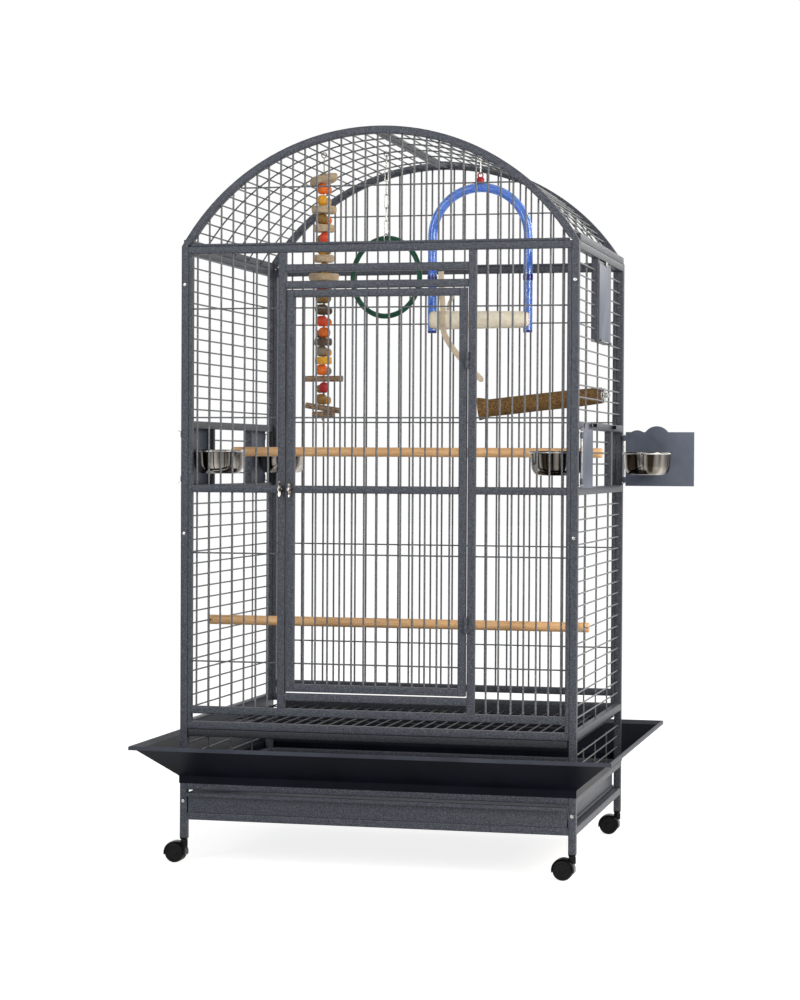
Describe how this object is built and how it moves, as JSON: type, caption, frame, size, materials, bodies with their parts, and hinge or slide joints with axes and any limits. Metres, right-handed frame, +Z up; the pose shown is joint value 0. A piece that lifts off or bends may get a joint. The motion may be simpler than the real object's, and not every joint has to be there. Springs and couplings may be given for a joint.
{
  "type": "bird cage on stand",
  "caption": "Tall barred bird cage with a domed roof on a castered stand, with hinged doors, swing-out feeders, pull-out tray and grate, seed guards and hung toys.",
  "frame": {"origin": "on the floor, midway between the four corner posts", "axes": "+Z up, +X to the right seen from the front, the front door faces -Y"},
  "size_m": [1.3145, 0.965, 1.851],
  "materials": {
    "hammer_paint": "hammered blue-grey powder coat with pale flecks",
    "smooth_paint": "smooth blue-black powder coat",
    "cup_steel": "polished stainless steel",
    "zinc_steel": "zinc plated steel",
    "caster_plastic": "moulded black nylon",
    "wheel_rubber": "black tread, slightly worn",
    "pale_wood": "bare pale dowel with fine long grain",
    "bark_wood": "natural branch with rough brown bark",
    "green_plastic": "moulded green tube",
    "toy_cord": "twisted natural cord",
    "toy_wood": "dyed wooden beads, slices and sticks",
    "blue_acrylic": "clear blue acrylic tube",
    "perch_cement": "rough sandy cement"
  },
  "bodies": {
    "cage": {"corner_posts": "hammer_paint", "front_frame": "hammer_paint", "front_bars": "hammer_paint", "back_frame": "hammer_paint", "back_bars": "hammer_paint", "left_side_frame": "hammer_paint", "left_side_wires": "hammer_paint", "right_side_frame": "hammer_paint", "right_side_wires": "hammer_paint", "base_frame": "hammer_paint", "dome_frame": "hammer_paint", "dome_end_bars": "hammer_paint", "dome_left_wires": "hammer_paint", "dome_right_wires": "hammer_paint", "guard_front": "smooth_paint", "guard_back": "smooth_paint", "guard_left": "smooth_paint", "guard_right": "smooth_paint", "door_hinge_leaves": "hammer_paint", "side_door_pins": "zinc_steel", "leg_plugs": "caster_plastic", "post_bolts": "zinc_steel", "perch_dowels": "pale_wood", "branch_perch": "bark_wood", "branch_fixing": "zinc_steel"},
    "front_door": {"door_frame": "hammer_paint", "door_bars": "hammer_paint"},
    "jamb_latch": {"jamb_wing_latch": "zinc_steel"},
    "stile_latch": {"stile_wing_latch": "zinc_steel"},
    "feeder_right_rear": {"feeder_door_right_rear": "hammer_paint"},
    "cup_right_rear": {"feeder_cup_right_rear": "cup_steel"},
    "hook_right_rear": {"feeder_hook_right_rear": "hammer_paint"},
    "feeder_right_front": {"feeder_door_right_front": "hammer_paint"},
    "cup_right_front": {"feeder_cup_right_front": "cup_steel"},
    "hook_right_front": {"feeder_hook_right_front": "hammer_paint"},
    "feeder_left_rear": {"feeder_door_left_rear": "hammer_paint"},
    "cup_left_rear": {"feeder_cup_left_rear": "cup_steel"},
    "hook_left_rear": {"feeder_hook_left_rear": "hammer_paint"},
    "feeder_left_front": {"feeder_door_left_front": "hammer_paint"},
    "cup_left_front": {"feeder_cup_left_front": "cup_steel"},
    "hook_left_front": {"feeder_hook_left_front": "hammer_paint"},
    "nest_flap": {"nest_door": "hammer_paint"},
    "nest_turn_button": {"nest_button": "hammer_paint"},
    "tray_pan": {"tray": "hammer_paint"},
    "floor_grate": {"grate": "hammer_paint"},
    "caster_front_left": {"caster_hood_front_left": "caster_plastic"},
    "wheels_front_left": {"caster_wheels_front_left": "wheel_rubber"},
    "caster_front_right": {"caster_hood_front_right": "caster_plastic"},
    "wheels_front_right": {"caster_wheels_front_right": "wheel_rubber"},
    "caster_rear_left": {"caster_hood_rear_left": "caster_plastic"},
    "wheels_rear_left": {"caster_wheels_rear_left": "wheel_rubber"},
    "caster_rear_right": {"caster_hood_rear_right": "caster_plastic"},
    "wheels_rear_right": {"caster_wheels_rear_right": "wheel_rubber"},
    "ring_swing": {"hoop_chain": "zinc_steel", "hoop": "green_plastic"},
    "bead_toy": {"bead_cord": "toy_cord", "bead_stack": "toy_wood"},
    "arch_swing": {"swing_bow": "blue_acrylic", "swing_hanger": "zinc_steel", "swing_perch": "perch_cement"}
  },
  "joints": [
    {"name": "front_door_swing", "type": "hinge", "parent": "cage", "child": "front_door", "pos_m": [0.23167, -0.3865, 0.949], "axis": [0, 0, 1], "range_deg": [0, 135]},
    {"name": "jamb_latch_turn", "type": "hinge", "parent": "cage", "child": "jamb_latch", "pos_m": [-0.24317, -0.381, 0.949], "axis": [0, 1, 0], "range_deg": [0, 90]},
    {"name": "stile_latch_turn", "type": "hinge", "parent": "front_door", "child": "stile_latch", "pos_m": [-0.22017, -0.381, 0.949], "axis": [0, 1, 0], "range_deg": [-25, 25]},
    {"name": "feeder_right_rear_swing", "type": "hinge", "parent": "cage", "child": "feeder_right_rear", "pos_m": [0.513, 0.356, 1.0405], "axis": [0, 0, 1], "range_deg": [-90, 20]},
    {"name": "cup_right_rear_lift", "type": "slide", "parent": "feeder_right_rear", "child": "cup_right_rear", "axis": [0, 0, 1], "range_m": [0, 0.05]},
    {"name": "hook_right_rear_turn", "type": "hinge", "parent": "cage", "child": "hook_right_rear", "pos_m": [0.508, 0.197, 1.113], "axis": [1, 0, 0], "range_deg": [0, 90]},
    {"name": "feeder_right_front_swing", "type": "hinge", "parent": "cage", "child": "feeder_right_front", "pos_m": [0.513, -0.356, 1.0405], "axis": [0, 0, -1], "range_deg": [0, 110]},
    {"name": "cup_right_front_lift", "type": "slide", "parent": "feeder_right_front", "child": "cup_right_front", "axis": [0, 0, 1], "range_m": [0, 0.05]},
    {"name": "hook_right_front_turn", "type": "hinge", "parent": "cage", "child": "hook_right_front", "pos_m": [0.508, -0.197, 1.113], "axis": [-1, 0, 0], "range_deg": [0, 90]},
    {"name": "feeder_left_rear_swing", "type": "hinge", "parent": "cage", "child": "feeder_left_rear", "pos_m": [-0.513, 0.356, 1.0405], "axis": [0, 0, -1], "range_deg": [0, 110]},
    {"name": "cup_left_rear_lift", "type": "slide", "parent": "feeder_left_rear", "child": "cup_left_rear", "axis": [0, 0, 1], "range_m": [0, 0.05]},
    {"name": "hook_left_rear_turn", "type": "hinge", "parent": "cage", "child": "hook_left_rear", "pos_m": [-0.508, 0.197, 1.113], "axis": [1, 0, 0], "range_deg": [0, 90]},
    {"name": "feeder_left_front_swing", "type": "hinge", "parent": "cage", "child": "feeder_left_front", "pos_m": [-0.513, -0.356, 1.0405], "axis": [0, 0, 1], "range_deg": [0, 110]},
    {"name": "cup_left_front_lift", "type": "slide", "parent": "feeder_left_front", "child": "cup_left_front", "axis": [0, 0, 1], "range_m": [0, 0.05]},
    {"name": "hook_left_front_turn", "type": "hinge", "parent": "cage", "child": "hook_left_front", "pos_m": [-0.508, -0.197, 1.113], "axis": [-1, 0, 0], "range_deg": [0, 90]},
    {"name": "nest_door_swing", "type": "hinge", "parent": "cage", "child": "nest_flap", "pos_m": [0.513, 0.024, 1.33075], "axis": [0, 1, 0], "range_deg": [0, 160]},
    {"name": "nest_button_turn", "type": "hinge", "parent": "cage", "child": "nest_turn_button", "pos_m": [0.508, 0.024, 1.533], "axis": [-1, 0, 0], "range_deg": [0, 90]},
    {"name": "tray_pull", "type": "slide", "parent": "cage", "child": "tray_pan", "axis": [0, -1, 0], "range_m": [0, 0.6]},
    {"name": "grate_pull", "type": "slide", "parent": "cage", "child": "floor_grate", "axis": [0, -1, 0], "range_m": [0, 0.6]},
    {"name": "caster_front_left_swivel", "type": "hinge", "parent": "cage", "child": "caster_front_left", "pos_m": [-0.4985, -0.3715, 0.048], "axis": [0, 0, 1], "continuous": true},
    {"name": "wheels_front_left_roll", "type": "hinge", "parent": "caster_front_left", "child": "wheels_front_left", "pos_m": [-0.5205, -0.3715, 0.025], "axis": [0, 1, 0], "continuous": true},
    {"name": "caster_front_right_swivel", "type": "hinge", "parent": "cage", "child": "caster_front_right", "pos_m": [0.4985, -0.3715, 0.048], "axis": [0, 0, 1], "continuous": true},
    {"name": "wheels_front_right_roll", "type": "hinge", "parent": "caster_front_right", "child": "wheels_front_right", "pos_m": [0.4765, -0.3715, 0.025], "axis": [0, 1, 0], "continuous": true},
    {"name": "caster_rear_left_swivel", "type": "hinge", "parent": "cage", "child": "caster_rear_left", "pos_m": [-0.4985, 0.3715, 0.048], "axis": [0, 0, 1], "continuous": true},
    {"name": "wheels_rear_left_roll", "type": "hinge", "parent": "caster_rear_left", "child": "wheels_rear_left", "pos_m": [-0.5205, 0.3715, 0.025], "axis": [0, 1, 0], "continuous": true},
    {"name": "caster_rear_right_swivel", "type": "hinge", "parent": "cage", "child": "caster_rear_right", "pos_m": [0.4985, 0.3715, 0.048], "axis": [0, 0, 1], "continuous": true},
    {"name": "wheels_rear_right_roll", "type": "hinge", "parent": "caster_rear_right", "child": "wheels_rear_right", "pos_m": [0.4765, 0.3715, 0.025], "axis": [0, 1, 0], "continuous": true},
    {"name": "ring_swing_sway", "type": "hinge", "parent": "cage", "child": "ring_swing", "pos_m": [-0.07626, 0.024, 1.83646], "axis": [0, 1, 0], "range_deg": [-15, 15]},
    {"name": "bead_toy_sway", "type": "hinge", "parent": "cage", "child": "bead_toy", "pos_m": [-0.19177, -0.177, 1.80885], "axis": [0, 1, 0], "range_deg": [-12, 12]},
    {"name": "arch_swing_sway", "type": "hinge", "parent": "cage", "child": "arch_swing", "pos_m": [0.19177, -0.042, 1.80885], "axis": [0, 1, 0], "range_deg": [-15, 15]}
  ]
}
